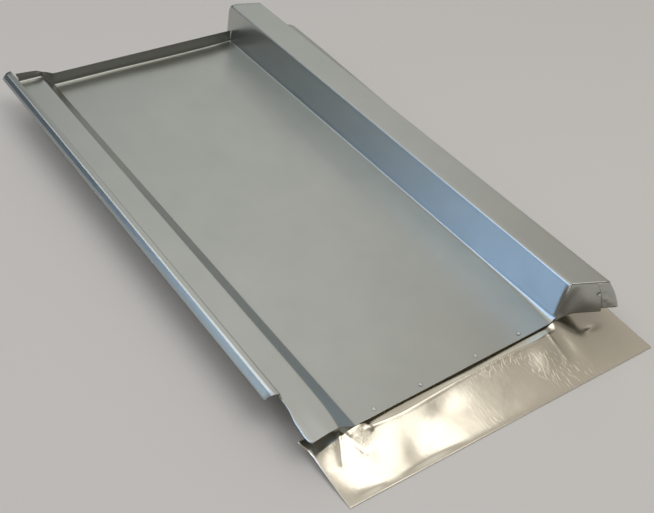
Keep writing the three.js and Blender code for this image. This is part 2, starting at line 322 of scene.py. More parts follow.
@dataclass(frozen=True)
class TileDatum:
    """Where the tray's front left corner is in the frame, and the tile's shared sizes."""

    corner: Vector
    tray_width: float = 174.0
    tray_length: float = 420.0
    stand_height: float = 15.0
    sheet: float = 0.6
    clearance: float = 0.3

    @classmethod
    def from_frame(cls) -> "TileDatum":
        """Find the tray's corner from the hooks, whose seats stand at known places under it.

        Returns:
            The datum.
        """
        low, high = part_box("hanging_hook_left")
        hook_inset, hook_share, seat_gap = 22.0, 0.2, 0.9
        middle = (low.x + high.x) / 2
        corner = Vector((
            middle - hook_share * cls.tray_width * MM,
            low.y - (cls.tray_length - hook_inset) * MM,
            high.z + seat_gap * MM,
        ))
        return cls(corner)

    def to_frame(self, points: np.ndarray) -> np.ndarray:
        """Turn millimetres from the tray's corner into the frame's metres."""
        return np.asarray(points, float) * MM + np.array(self.corner)

    def from_frame_point(self, point: Vector) -> np.ndarray:
        """Turn a point of the frame into millimetres from the tray's corner."""
        return (np.array(point) - np.array(self.corner)) / MM


class SheetBuilder:
    """Collects grids of points that share edges, and makes one sheet of even thickness."""

    def __init__(self, rim_radius: float = 0.12) -> None:
        """Start with no points.

        Args:
            rim_radius: How far the cut edges are rounded, in millimetres.
        """
        self.rim_radius = rim_radius
        self.points: list[np.ndarray] = []
        self.quads: list[tuple[int, int, int, int]] = []
        self.keys: dict[tuple[int, int, int], int] = {}

    def vertex(self, point: np.ndarray) -> int:
        """Number of the vertex at a point, new or shared with a neighbour that ends there."""
        key = tuple(int(round(value * 500)) for value in point)
        if key not in self.keys:
            self.keys[key] = len(self.points)
            self.points.append(point)
        return self.keys[key]

    def add_grid(self, grid: np.ndarray, keep: np.ndarray | None = None) -> None:
        """Add a grid of quads.

        Args:
            grid: Points as rows, columns and three numbers; X across by Y along faces up.
            keep: True for each quad that is there; all of them where it isn't given.
        """
        rows, columns = grid.shape[:2]
        numbers = {}

        def number(j: int, i: int) -> int:
            """Number of one grid point, made when it is first used."""
            if (j, i) not in numbers:
                numbers[(j, i)] = self.vertex(grid[j, i])
            return numbers[(j, i)]

        for j in range(rows - 1):
            for i in range(columns - 1):
                if keep is not None and not keep[j, i]:
                    continue
                quad = (number(j, i), number(j, i + 1), number(j + 1, i + 1), number(j + 1, i))
                if len(set(quad)) == 4:
                    self.quads.append(quad)
                elif len(set(quad)) == 3:
                    self.quads.append(tuple(dict.fromkeys(quad)))

    def build(
        self,
        name: str,
        datum: TileDatum,
        thickness: float,
        face: bpy.types.Material,
        rim: bpy.types.Material,
    ) -> bpy.types.Object:
        """Make the sheet's object, thickened about its middle and with its rims in their own metal.

        Args:
            name: The piece's name.
            datum: Turns millimetres into the frame.
            thickness: The sheet's thickness in millimetres.
            face: Material of the two faces.
            rim: Material of the cut edges.

        Returns:
            The object, with a plain mesh.
        """
        mesh = bpy.data.meshes.new(name)
        mesh.from_pydata(datum.to_frame(np.array(self.points)).tolist(), [], self.quads)
        mesh.materials.append(face)
        mesh.materials.append(rim)
        sheet_object = bpy.data.objects.new(name, mesh)
        bpy.context.scene.collection.objects.link(sheet_object)
        solidify = sheet_object.modifiers.new("thickness", "SOLIDIFY")
        solidify.thickness = thickness * MM
        solidify.offset = 0.0
        solidify.use_even_offset = True
        solidify.thickness_clamp = 0.0
        solidify.material_offset_rim = 1
        rims = sheet_object.modifiers.new("rounded_rims", "BEVEL")
        rims.width = self.rim_radius * MM
        rims.segments = 2
        rims.limit_method = "ANGLE"
        rims.angle_limit = math.radians(50)
        rims.use_clamp_overlap = False
        solid = solid_mesh(sheet_object)
        sheet_object.modifiers.clear()
        sheet_object.data = solid
        finish_shading(solid)
        return sheet_object


def solid_mesh(source: bpy.types.Object) -> bpy.types.Mesh:
    """Plain mesh of an object with its modifiers worked in."""
    bpy.context.view_layer.update()
    evaluated = source.evaluated_get(bpy.context.evaluated_depsgraph_get())
    return bpy.data.meshes.new_from_object(evaluated)


def finish_shading(mesh: bpy.types.Mesh, angle: float = 38.0) -> None:
    """Shade a mesh smoothly, with edges sharper than an angle in degrees left crisp."""
    mesh.shade_smooth()
    mesh.set_sharp_from_angle(angle=math.radians(angle))


def fold(start: np.ndarray, corner: np.ndarray, end: np.ndarray, steps: int) -> list[np.ndarray]:
    """Points of a fold in a row of points.

    Args:
        start: Row where the bend begins.
        corner: Row where the two flat faces would meet.
        end: Row where the bend ends.
        steps: How many strips the bend has.

    Returns:
        The rows after the start, the last one being the end.
    """
    rows = []
    for k in range(1, steps + 1):
        t = k / steps
        rows.append((1 - t) ** 2 * start + 2 * t * (1 - t) * corner + t * t * end)
    return rows


# ---------------------------------------------------------------------------------------------
# Folded plate
# ---------------------------------------------------------------------------------------------


class Strip(Enum):
    """The flats of the plate's section, from left to right."""

    HEM_FLARE = 0
    HEM_OUTER = 1
    HEM_TOP = 2
    HEM_CREST = 3
    HEM_INNER = 4
    CHANNEL = 5
    STEP = 6
    TRAY = 7
    RIB_WALL = 8
    RIB_TOP = 9
    FLANGE = 10


@dataclass
class FoldedPlate:
    """The galvanised plate, one blank folded into hem, channel, step, tray, rib and flange."""

    datum: TileDatum
    step_run: float = 10.6
    step_flare: float = 3.0
    step_bend: float = 2.5
    channel_width: float = 19.6
    channel_rise: tuple[float, float] = (7.0, 11.0)
    hem_height: float = 6.3
    hem_run: float = 2.1
    hem_top: float = 4.7
    hem_bend: float = 1.0
    hem_start: float = 37.0
    hem_slant: float = 2.2
    hem_front: tuple[tuple[float, float], ...] = (
        (-2.9, -5.4), (-0.1, -1.45), (0.3, -0.72), (1.8, 0.12),
    )
    hem_rear: tuple[tuple[float, float], ...] = (
        (-2.6, -5.7), (-1.5, -3.6), (0.6, -1.1), (1.5, -0.55),
    )
    hem_decay: float = 110.0
    hem_tail: float = 8.0
    lip_reach: float = 4.2
    lip_fall: float = 0.9
    lip_roll: float = 0.15
    rib_height: float = 34.0
    rib_lean: float = 1.9
    rib_top: float = 27.0
    rib_bend: tuple[float, float] = (2.3, 1.3)
    rib_foot_bend: tuple[float, float] = (6.5, 1.7)
    front_decay: float = 25.0
    edge_roll: float = 1.0
    cap_set_back: float = 1.2
    tab_set_back: float = 2.3
    set_back_fade: float = 12.0
    rib_skew: float = 0.46
    rib_rear: tuple[float, float, float] = (5.5, 6.3, -2.8)
    flange_width: float = 13.5
    flange_drop: float = 24.5
    flange_bulge: float = 1.5
    flare_width: float = 16.0
    flare_drop: float = 21.0
    flare_start: float = 150.0
    notch: float = 46.0
    upstand: tuple[float, float, float] = (19.4, 17.8, 11.6)
    upstand_bulge: float = 1.3
    rear_fold: tuple[float, float] = (3.4, 1.8)
    cap_foot: float = 5.8
    cap_foot_run: float = 13.0
    cap_swell: tuple[float, float] = (1.0, 1.2)
    tab_width: tuple[float, float] = (8.3, 12.0)
    marks: tuple[tuple[float, float, float, float], ...] = (
        (1.5, 18.5, 1.8, 0.55), (5.0, 15.0, 1.6, 0.5), (-0.5, 27.0, 2.2, 0.5),
        (3.0, 23.0, 1.5, 0.3),
    )
    foot_rise: float = 0.6
    channel_sag: float = 1.5
    rear_round: float = 2.6
    bend_strips: int = 6
    flat_strips: tuple[int, ...] = (4, 2, 4, 3, 3, 9, 4, 44, 10, 8, 1)
    flange_points: int = 16
    flat_starts: list[int] = field(default_factory=list)

    @property
    def top_left(self) -> float:
        """Across to the rib's upper inner edge."""
        return self.datum.tray_width + self.rib_lean

    @property
    def top_right(self) -> float:
        """Across to the rib's upper outer edge."""
        return self.top_left + self.rib_top

    @property
    def channel_outer(self) -> float:
        """Across to the channel's outer edge, where the hem rises."""
        return -self.step_run - self.channel_width

    def front(self, x: np.ndarray | float) -> np.ndarray | float:
        """Where the front edge lies at a place across: the rib's end runs obliquely."""
        return -self.rib_skew * np.maximum(0.0, np.asarray(x) - self.top_left)

    def channel_height(self, y: float) -> float:
        """Height of the side channel above the tray at a distance from the front."""
        share = min(1.0, max(0.0, y / self.datum.tray_length))
        return blend(self.channel_rise[0], self.channel_rise[1], share)

    def flange_section(self, y: float) -> np.ndarray:
        """Flange's section at a distance from the front.

        Args:
            y: Distance from the front edge.

        Returns:
            Points from near the rib's top to the free edge.
        """
        reach = self.datum.tray_length - self.notch
        opened = float(smooth_step(y, self.flare_start, reach))
        start = np.array([self.top_right, self.rib_height])
        width = blend(self.flange_width, self.flare_width, opened)
        drop = blend(self.flange_drop, self.flare_drop, opened)
        end = start + np.array([width, -drop])
        convex = (start + end) / 2 + self.flange_bulge
        sprung = start + np.array([0.85 * self.flare_width, -0.1 * self.flare_drop])
        middle = blend(convex, sprung, opened)
        shares = np.linspace(0, 1, self.flange_points + 1)[1:, None]
        return (1 - shares) ** 2 * start + 2 * shares * (1 - shares) * middle + shares ** 2 * end

    def section(self, y: float) -> np.ndarray:
        """Middle line of the sheet's section at a distance from the front.

        Args:
            y: Distance from the front edge.

        Returns:
            Points of X and Z, always the same number of them.
        """
        channel = self.channel_height(y)
        top = channel + self.hem_height
        step_top = -self.step_run - self.step_flare * math.exp(-y / 12)
        near = math.exp(-y / self.front_decay)
        foot = blend(self.rib_foot_bend[1], self.rib_foot_bend[0], near)
        upper = blend(self.rib_bend[1], self.rib_bend[0], near)
        hem_inner = self.channel_outer - self.hem_run
        hem_outer = hem_inner - self.hem_top
        flange = self.flange_section(y)
        twist = math.exp(-max(0.0, y - self.hem_start) / self.hem_decay)
        free_edge, shoulder, crown, crest = (
            (hem_outer + blend(rear[0], front[0], twist), top + blend(rear[1], front[1], twist))
            for front, rear in zip(self.hem_front, self.hem_rear)
        )
        corners = [
            (*free_edge, 0.0),
            (*shoulder, 0.4 * self.hem_bend),
            (*crown, 0.3 * self.hem_bend),
            (*crest, self.hem_bend),
            (hem_inner, top, self.hem_bend),
            (self.channel_outer, channel, 0.75 * self.hem_bend),
            (step_top, channel, self.step_bend),
            (0.0, 0.0, self.step_bend),
            (self.datum.tray_width, 0.0, foot),
            (self.top_left, self.rib_height, upper),
            (self.top_right, self.rib_height, self.rib_bend[1] / 2),
            (flange[0][0], flange[0][1], 0.0),
        ]
        arcs = [self.bend_arc(corners, k) for k in range(len(corners))]
        line: list[np.ndarray] = []
        self.flat_starts = []
        for k, arc in enumerate(arcs[:-1]):
            line.extend(arc)
            self.flat_starts.append(len(line) - 1)
            strips = self.flat_strips[k]
            for step in range(1, strips):
                line.append(blend(arc[-1], arcs[k + 1][0], step / strips))
        line.extend(flange)
        return np.array(line) - np.array([0.0, self.datum.sheet / 2])

    def bend_arc(self, corners: list[tuple[float, float, float]], k: int) -> list[np.ndarray]:
        """Points that round one corner of the section.

        Args:
            corners: X, Z and bend radius of each corner.
            k: Which corner.

        Returns:
            The arc's points, or the corner itself where it has no radius.
        """
        here = np.array(corners[k][:2])
        radius = corners[k][2]
        if radius == 0:
            return [here]
        before = np.array(corners[k - 1][:2]) - here
        after = np.array(corners[k + 1][:2]) - here
        room = 0.46 * float(min(np.linalg.norm(before), np.linalg.norm(after)))
        before = before / np.linalg.norm(before)
        after = after / np.linalg.norm(after)
        half = math.acos(float(np.clip(before @ after, -1, 1))) / 2
        reach = min(radius / math.tan(half), room)
        radius = reach * math.tan(half)
        middle = before + after
        centre = here + middle / np.linalg.norm(middle) * radius / math.sin(half)
        start = here + before * reach - centre
        end = here + after * reach - centre
        turn = math.atan2(start[0] * end[1] - start[1] * end[0], float(start @ end))
        arc = []
        for step in range(self.bend_strips + 1):
            angle = turn * step / self.bend_strips
            cosine, sine = math.cos(angle), math.sin(angle)
            arc.append(centre + np.array([
                start[0] * cosine - start[1] * sine,
                start[0] * sine + start[1] * cosine,
            ]))
        return arc

    def rows(self) -> np.ndarray:
        """Distances from the front at which the section is drawn, closer near the front."""
        length = self.datum.tray_length
        near = self.hem_start * np.linspace(0, 1, 21) ** 1.6
        far = np.linspace(self.hem_start, length - self.notch, 68)[1:]
        rear = np.linspace(length - self.notch, length, 14)[1:]
        return np.concatenate([near, far, rear])

    def rear(self, x: np.ndarray, z: np.ndarray) -> np.ndarray:
        """Where the plate ends at the rear, at places of its section."""
        length = self.datum.tray_length
        up = np.clip(z / self.rib_height, 0, 1)
        across = np.clip((x - self.top_left) / self.rib_top, 0, 1)
        inner = blend(self.rib_rear[0], self.rib_rear[1], up)
        rib = length + blend(inner, self.rib_rear[2], across)
        below_top = (z - self.rib_height) / 3.0
        rib = rib - self.rear_round * np.exp(-below_top ** 2 - (across / 0.12) ** 2)
        hem = length + self.hem_tail
        plate = np.where(x < self.datum.tray_width, length, rib)
        return np.where(x < self.channel_outer, hem, plate)

    def ripple(self, grid: np.ndarray) -> np.ndarray:
        """Small unevenness of a hand-folded sheet.

        Args:
            grid: The sheet's points.

        Returns:
            How far each one is moved up.
        """
        x, y = grid[..., 0], grid[..., 1]
        on_tray = smooth_step(x, 4, 30) * smooth_step(self.datum.tray_width - x, 4, 30)
        wave = 0.16 * np.sin(x / 31 + 0.7) * np.sin(y / 67 + 1.1)
        wave += 0.10 * np.sin(x / 17 + y / 49 + 2.0)
        front = 0.11 * np.exp(-((y - 6) / 9) ** 2) * np.sin(x / 13.0)
        foot = self.foot_rise * smooth_step(x, self.datum.tray_width - 26, self.datum.tray_width)
        foot = np.where(x > self.datum.tray_width + 0.3, 0.0, foot)
        shoulder = self.channel_sag * smooth_step(-x, 20, 31) * smooth_step(-y, -34, -6)
        shoulder = np.where(x < self.channel_outer - 0.5, 0.0, shoulder)
        return on_tray * (wave + front) + foot * smooth_step(y, 0, 30) - shoulder

    def upper_sheet(self) -> np.ndarray:
        """Grid of the whole plate without its folded ends.

        Returns:
            Points as rows, columns and three numbers.
        """
        length = self.datum.tray_length
        ys = self.rows()
        sections = np.array([self.section(y) for y in ys])
        x, z = sections[..., 0], sections[..., 1]
        share = (ys / length)[:, None]
        near_rear = smooth_step(share * length, length - 30, length)
        start = self.front(x)
        y = blend(start, length, share) + (self.rear(x, z) - length) * near_rear
        fold_place = self.upstand_columns()
        y[:, fold_place] -= (self.fold_leg(x[:, fold_place]) + 0.6 * self.datum.sheet) * near_rear
        up = np.clip(z / self.rib_height, 0, 1)
        rolled = self.edge_roll * np.exp(-(ys[:, None] / 1.4) ** 2) * np.sin(math.pi * up) ** 0.5
        x = x + np.where((x > self.datum.tray_width - 1) & (x < self.top_left + 0.2), rolled, 0.0)
        grid = np.stack([x, y, z], axis=-1)
        grid[..., 2] += self.ripple(grid)
        return grid

    def fold_leg(self, x: np.ndarray) -> np.ndarray:
        """Size of the rear fold at places across: wide at the left and tighter at the rib."""
        return blend(self.rear_fold[0], self.rear_fold[1], np.clip(x / self.datum.tray_width, 0, 1))

    def upstand_columns(self) -> slice:
        """Columns of the section that are folded up at the rear."""
        channel = self.flat_starts[Strip.CHANNEL.value]
        foot = self.flat_starts[Strip.RIB_WALL.value] - self.bend_strips // 2
        return slice(channel, foot + 1)

    def rear_upstand(self, grid: np.ndarray) -> np.ndarray:
        """The tray's, step's and channel's rear edge, folded up.

        Args:
            grid: The plate's points.

        Returns:
            The upstand's own grid, its first row shared with the plate.
        """
        edge = grid[-1, self.upstand_columns()]
        x = edge[:, 0]
        channel_top = blend(self.upstand[0], self.upstand[1], np.clip((x + 30) / 20, 0, 1))
        top = blend(channel_top, self.upstand[2], smooth_step(x, -15, 1)) - self.datum.sheet / 2
        leg = self.fold_leg(x)
        corner, rise = edge.copy(), edge.copy()
        corner[:, 1] += leg
        rise[:, 1] += leg
        rise[:, 2] += leg
        rows = [edge, *fold(edge, corner, rise, 6)]
        for k in range(1, 7):
            row = rise.copy()
            row[:, 2] = blend(rise[:, 2], top, k / 6)
            bulge = np.exp(-((x + 4) / 3.2) ** 2) - 0.7 * np.exp(-((x + 11) / 3.2) ** 2)
            row[:, 1] += self.upstand_bulge * bulge * math.sin(0.5 * math.pi * k / 6)
            beside_hem = np.exp(-((x - x.min()) / 1.5) ** 2)
            row[:, 0] -= 1.1 * self.hem_run * beside_hem * k / 6
            rows.append(row)
        return np.array(rows)

    def channel_lip(self, grid: np.ndarray, ys: np.ndarray) -> np.ndarray:
        """Free edge of the channel in front of the hem, turned down a little.

        Args:
            grid: The plate's points.
            ys: The plate's rows.

        Returns:
            The lip's grid, its last column shared with the channel.
        """
        column = self.flat_starts[Strip.CHANNEL.value]
        rows = []
        for j, y in enumerate(ys):
            if y > self.hem_start + 0.01:
                break
            shared = grid[j, column]
            share = 1 - y / self.hem_start
            rounding = math.sqrt(max(0.0, 1 - (1 - min(1.0, y / self.lip_reach)) ** 2))
            grown = float(smooth_step(share, 0.1, 0.8))
            reach = blend(0.1, 0.75, grown) * self.lip_reach * blend(0.45, 1.0, rounding)
            wavy = float(smooth_step(y, 3, 12) * smooth_step(-y, -33, -24))
            reach += 0.22 * math.sin(y / 2.4) * wavy
            outer = self.channel_outer - reach
            row = []
            for across in np.linspace(1, 0, 9):
                fall = self.lip_fall * grown * across ** 1.5
                fall += self.lip_roll * max(0.0, across - 0.87) / 0.13
                row.append([blend(shared[0], outer, across), shared[1], shared[2] - fall])
            rows.append(row)
        return np.array(rows)

    def end_cap(self, grid: np.ndarray) -> np.ndarray:
        """Flap folded down from the rib's top to close its front end.

        Args:
            grid: The plate's points.

        Returns:
            The cap's grid, its first row shared with the rib's top.
        """
        first = self.flat_starts[Strip.RIB_TOP.value]
        last = first + self.flat_strips[Strip.RIB_TOP.value]
        edge = grid[0, first:last + 1]
        leg = 1.1
        share = np.linspace(0, 1, len(edge))
        foot_x = blend(self.datum.tray_width + 0.2, self.top_right + 2, share)
        rise = self.cap_foot * smooth_step(foot_x - self.datum.tray_width, 0, self.cap_foot_run)
        half = self.datum.sheet / 2
        set_back = 0.6 * self.datum.sheet
        under = edge.copy()
        under[:, 1] = self.front(edge[:, 0]) + set_back
        down = under.copy()
        down[:, 2] -= leg
        foot = np.stack([foot_x, self.front(foot_x) + set_back, rise - half], axis=-1)
        rows = [edge, *fold(edge, under, down, 5)]
        for k in range(1, 15):
            t = k / 14
            row = blend(down, foot, t)
            depth = math.sin(math.pi * t)
            row[:, 1] -= self.cap_swell[0] * np.exp(-((share - 0.45 - 0.3 * t) / 0.16) ** 2) * depth
            row[:, 1] += self.cap_swell[1] * np.exp(-((share - 0.2) / 0.18) ** 2) * depth
            rows.append(row)
        return np.array(rows)

    def corner_tab(self, grid: np.ndarray) -> np.ndarray:
        """Tab folded inwards from the flange's front end over the cap.

        Args:
            grid: The plate's points.

        Returns:
            The tab's grid, its first row shared with the flange.
        """
        start = self.flat_starts[Strip.FLANGE.value]
        edge = grid[0, start:]
        share = np.linspace(0, 1, len(edge))
        corner = edge.copy()
        corner[:, 1] = self.front(edge[:, 0]) - 0.3 * self.datum.sheet
        width = blend(self.tab_width[0], self.tab_width[1], share)
        rows = [edge]
        turned = corner.copy()
        turned[:, 0] -= 2.6
        turned[:, 1] = self.front(turned[:, 0]) - 0.3 * self.datum.sheet
        rows.extend(fold(edge, corner, turned, 6))
        for k in range(1, 13):
            row = turned.copy()
            row[:, 0] = blend(turned[:, 0], corner[:, 0] - width, k / 12)
            row[:, 1] = self.front(row[:, 0]) - 0.3 * self.datum.sheet
            row[:, 1] -= self.hammer_marks(row[:, 0], row[:, 2])
            rows.append(row)
        return np.array(rows)

    def hammer_marks(self, x: np.ndarray, z: np.ndarray) -> np.ndarray:
        """Shallow marks where the corner tab was beaten flat.

        Args:
            x: Places across.
            z: Heights.

        Returns:
            How far each place stands out to the front.
        """
        out = np.zeros_like(x)
        for across, up, radius, depth in self.marks:
            far = (x - self.top_right - across) ** 2 + (z - up) ** 2
            out += depth * np.exp(-far / radius ** 2)
        return out

    def build(self) -> bpy.types.Object:
        """Make the plate's object.

        Returns:
            The plate, riding on the tile.
        """
        grid = self.upper_sheet()
        ys = self.rows()
        starts = self.flat_starts
        top_first = starts[Strip.RIB_TOP.value]
        top_last = top_first + self.flat_strips[Strip.RIB_TOP.value]
        flange_first = starts[Strip.FLANGE.value]
        set_back = np.zeros(grid.shape[1])
        set_back[top_first:top_last + 1] = self.cap_set_back
        set_back[flange_first:] = self.tab_set_back
        grid[..., 1] += set_back * np.clip(1 - ys / self.set_back_fade, 0, 1)[:, None]
        hem_cut = np.argmin(np.abs(ys - self.hem_start))
        hem_top = float(grid[hem_cut, starts[Strip.HEM_TOP.value], 2])
        below = np.clip((hem_top - grid[hem_cut, :starts[Strip.CHANNEL.value], 2]) / 6, 0, 1)
        inward = np.linspace(1, 0, starts[Strip.CHANNEL.value])
        grid[hem_cut, :starts[Strip.CHANNEL.value], 1] += self.hem_slant * (
            below * inward - (1 - inward) * 1.2
        )
        keep = np.ones((grid.shape[0] - 1, grid.shape[1] - 1), bool)
        keep[ys[:-1] < self.hem_start - 0.01, :starts[Strip.CHANNEL.value]] = False
        keep[ys[:-1] > self.datum.tray_length - self.notch - 0.01, flange_first:] = False
        sheet = SheetBuilder()
        sheet.add_grid(grid, keep)
        sheet.add_grid(self.rear_upstand(grid))
        sheet.add_grid(self.channel_lip(grid, ys))
        sheet.add_grid(self.end_cap(grid)[::-1])
        sheet.add_grid(self.corner_tab(grid)[::-1])
        plate = sheet.build(
            "folded_plate", self.datum, self.datum.sheet,
            # The rims' brighter metal is partly a painted highlight along each free edge of the
            # plate.
            GALVANISED.build(), SHEARED_EDGE_AND_HIGHLIGHT.build(),
        )
        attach(plate, "root")
        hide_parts("cover_plate")
        return plate


# ---------------------------------------------------------------------------------------------
# Apron
# ---------------------------------------------------------------------------------------------


@dataclass(frozen=True)
class Crease:
    """A ridge or valley pressed into the apron along a line."""

    start: tuple[float, float]
    end: tuple[float, float]
    height: float
    width: tuple[float, float]

    def lift(self, x: np.ndarray, y: np.ndarray) -> np.ndarray:
        """How far this crease moves each point up.

        Args:
            x: Places across.
            y: Places along.

        Returns:
            Height in millimetres.
        """
        a, b = np.array(self.start), np.array(self.end)
        along = b - a
        length = float(np.linalg.norm(along))
        along = along / length
        t = ((x - a[0]) * along[0] + (y - a[1]) * along[1]) / length
        off = (x - a[0]) * -along[1] + (y - a[1]) * along[0]
        width = blend(self.width[0], self.width[1], np.clip(t, 0, 1))
        ends = smooth_step(t, -0.12, 0.12) * smooth_step(1.12 - t, 0.0, 0.24)
        return self.height * ends * np.exp(-np.sqrt((off / width) ** 2 + 0.04) * 1.6)


@dataclass(frozen=True)
class Dent:
    """A soft oval bump or hollow in the apron."""

    centre: tuple[float, float]
    radius: tuple[float, float]
    height: float
    turn: float = 0.0

    def lift(self, x: np.ndarray, y: np.ndarray) -> np.ndarray:
        """How far this dent moves each point up.

        Args:
            x: Places across.
            y: Places along.

        Returns:
            Height in millimetres.
        """
        angle = math.radians(self.turn)
        u = (x - self.centre[0]) * math.cos(angle) + (y - self.centre[1]) * math.sin(angle)
        v = -(x - self.centre[0]) * math.sin(angle) + (y - self.centre[1]) * math.cos(angle)
        return self.height * np.exp(-(u / self.radius[0]) ** 2 - (v / self.radius[1]) ** 2)


@dataclass
class SoftApron:
    """The soft aluminium apron, tucked under the plate and dressed down onto the tile below."""

    datum: TileDatum
    thickness: float = 0.4
    overhang: tuple[float, float] = (30.0, 57.0)
    tuck: float = 12.0
    reach: tuple[float, float] = (37.5, 46.0)
    drop: tuple[float, float] = (9.0, 11.0)
    gap: float = -2.9
    ridge_lift: float = 0.3
    edge_lift: float = 0.4
    fall_power: float = 1.4
    corner_curl: tuple[float, float, float] = (-2.4, 0.5, 1.6)
    ridge_across: tuple[float, ...] = (-30.0, 8.0, 29.0, 57.0, 85.0, 123.0, 159.0, 172.0, 231.0)
    ridge_along: tuple[float, ...] = (-3.0, -3.0, -6.1, -5.2, -4.2, -4.6, -6.4, -5.0, -5.0)
    columns: int = 290
    rows: int = 76
    creases: tuple[Crease, ...] = (
        Crease((-9.4, 4.3), (-18.5, -15.0), 1.1, (0.7, 4.5)),
        Crease((-9.4, 4.3), (-1.5, -16.0), -0.9, (0.7, 5.0)),
        Crease((7.0, 0.5), (9.6, -5.5), 0.7, (0.7, 1.2)),
        Crease((164.0, -2.0), (164.5, -26.0), 0.4, (1.0, 3.0)),
    )
    dents: tuple[Dent, ...] = (
        Dent((33.0, -29.0), (15.0, 13.0), -1.2),
        Dent((62.0, -13.0), (14.0, 7.0), -0.55),
        Dent((6.0, -13.0), (9.0, 9.0), -1.0),
        Dent((-11.0, -31.0), (8.0, 8.0), -0.7),
        Dent((152.0, -17.0), (11.0, 8.0), 0.7),
        Dent((172.0, -16.0), (6.0, 10.0), -0.5),
        Dent((203.0, -13.5), (7.0, 2.4), 1.3),
    )

    def height(self, x: np.ndarray, share: np.ndarray) -> np.ndarray:
        """Height of the smooth apron.

        Args:
            x: Places across.
            share: 0 at the plate's edge and 1 at the apron's free edge.

        Returns:
            Heights of its middle surface.
        """
        tucked = -self.datum.sheet - self.datum.clearance - self.thickness / 2
        left = (np.clip(-x - 1, 0, None) / self.overhang[0]) ** 1.3 * self.drop[0]
        right = smooth_step(x - self.datum.tray_width, 1, self.overhang[1]) * self.drop[1]
        fall = 1 - (1 - share) ** self.fall_power
        low = self.thickness / 2 - self.datum.stand_height + self.edge_lift
        return blend(tucked - left - right, low, fall)

    def ridge(self, x: np.ndarray) -> np.ndarray:
        """Where the apron's upper ridge runs in front of the plate, at places across."""
        lines = [
            np.interp(x + shift, self.ridge_across, self.ridge_along)
            for shift in np.linspace(-12, 12, 9)
        ]
        return sum(lines) / len(lines)

    def hollow(
        self, x: np.ndarray, y: np.ndarray, z: np.ndarray, ridge_z: np.ndarray,
    ) -> np.ndarray:
        """Sink the strip between the plate's edge and the ridge, so that a gap opens there.

        Args:
            x: Places across.
            y: Places along.
            z: Heights of the smooth apron.
            ridge_z: The smooth apron's height at the ridge, for each place across.

        Returns:
            The heights with the strip sunk.
        """
        line = self.ridge(x)
        width = self.datum.tray_width
        along = np.clip((y - line) / -line, 0, 1)
        crest = ridge_z + self.ridge_lift
        sunk = blend(crest, self.gap, along) - 0.1 * np.sin(math.pi * along)
        rising = smooth_step(y, 1.4, 5.5)
        sunk = blend(sunk, z, rising)
        inside = smooth_step(x, 3, 11) * smooth_step(-x, 1 - width, 7 - width)
        behind = smooth_step(y - line, -1.6, 2.2)
        return blend(z, sunk, inside * behind)

    def build(self) -> bpy.types.Object:
        """Make the apron's object.

        Returns:
            The apron, riding on the tile.
        """
        across = np.linspace(0, 1, self.columns + 1)
        x = blend(-self.overhang[0], self.datum.tray_width + self.overhang[1], across)
        reach = blend(self.reach[0], self.reach[1], across)
        along = np.linspace(-1, self.tuck / 42, self.rows + 1)[:, None]
        y = np.where(along < 0, along * reach, along * 42)
        share = np.clip(-along, 0, 1) + 0 * y
        x = x + 0 * y
        z = self.height(x, share)
        ridge_share = -self.ridge(x[:1]) / reach
        z = self.hollow(x, y, z, self.height(x[:1], ridge_share))
        lift = sum(shape.lift(x, y) for shape in (*self.creases, *self.dents))
        edge = smooth_step(1 - share, 0.0, 0.12) * smooth_step(-y, -2.0, 4.0)
        free = smooth_step(-x, 0.0, 8.0)
        hold = np.maximum(edge, free * smooth_step(1 - share, 0.0, 0.12))
        z = z + lift * hold
        ceiling = -self.datum.sheet - self.datum.clearance - self.thickness / 2
        curl = smooth_step(-x, 24, 30) * smooth_step(y, 3, 12)
        x = x + self.corner_curl[0] * curl
        y = y + self.corner_curl[1] * curl
        z = z + self.corner_curl[2] * curl ** 1.5
        z = np.clip(z, self.thickness / 2 - self.datum.stand_height, ceiling)
        sheet = SheetBuilder()
        sheet.add_grid(np.stack([x, y, z], axis=-1))
        metal = SOFT_ALUMINIUM.build()
        apron = sheet.build("soft_apron", self.datum, self.thickness, metal, metal)
        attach(apron, "root")
        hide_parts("apron")
        return apron


# ---------------------------------------------------------------------------------------------
# Rivets
# ---------------------------------------------------------------------------------------------


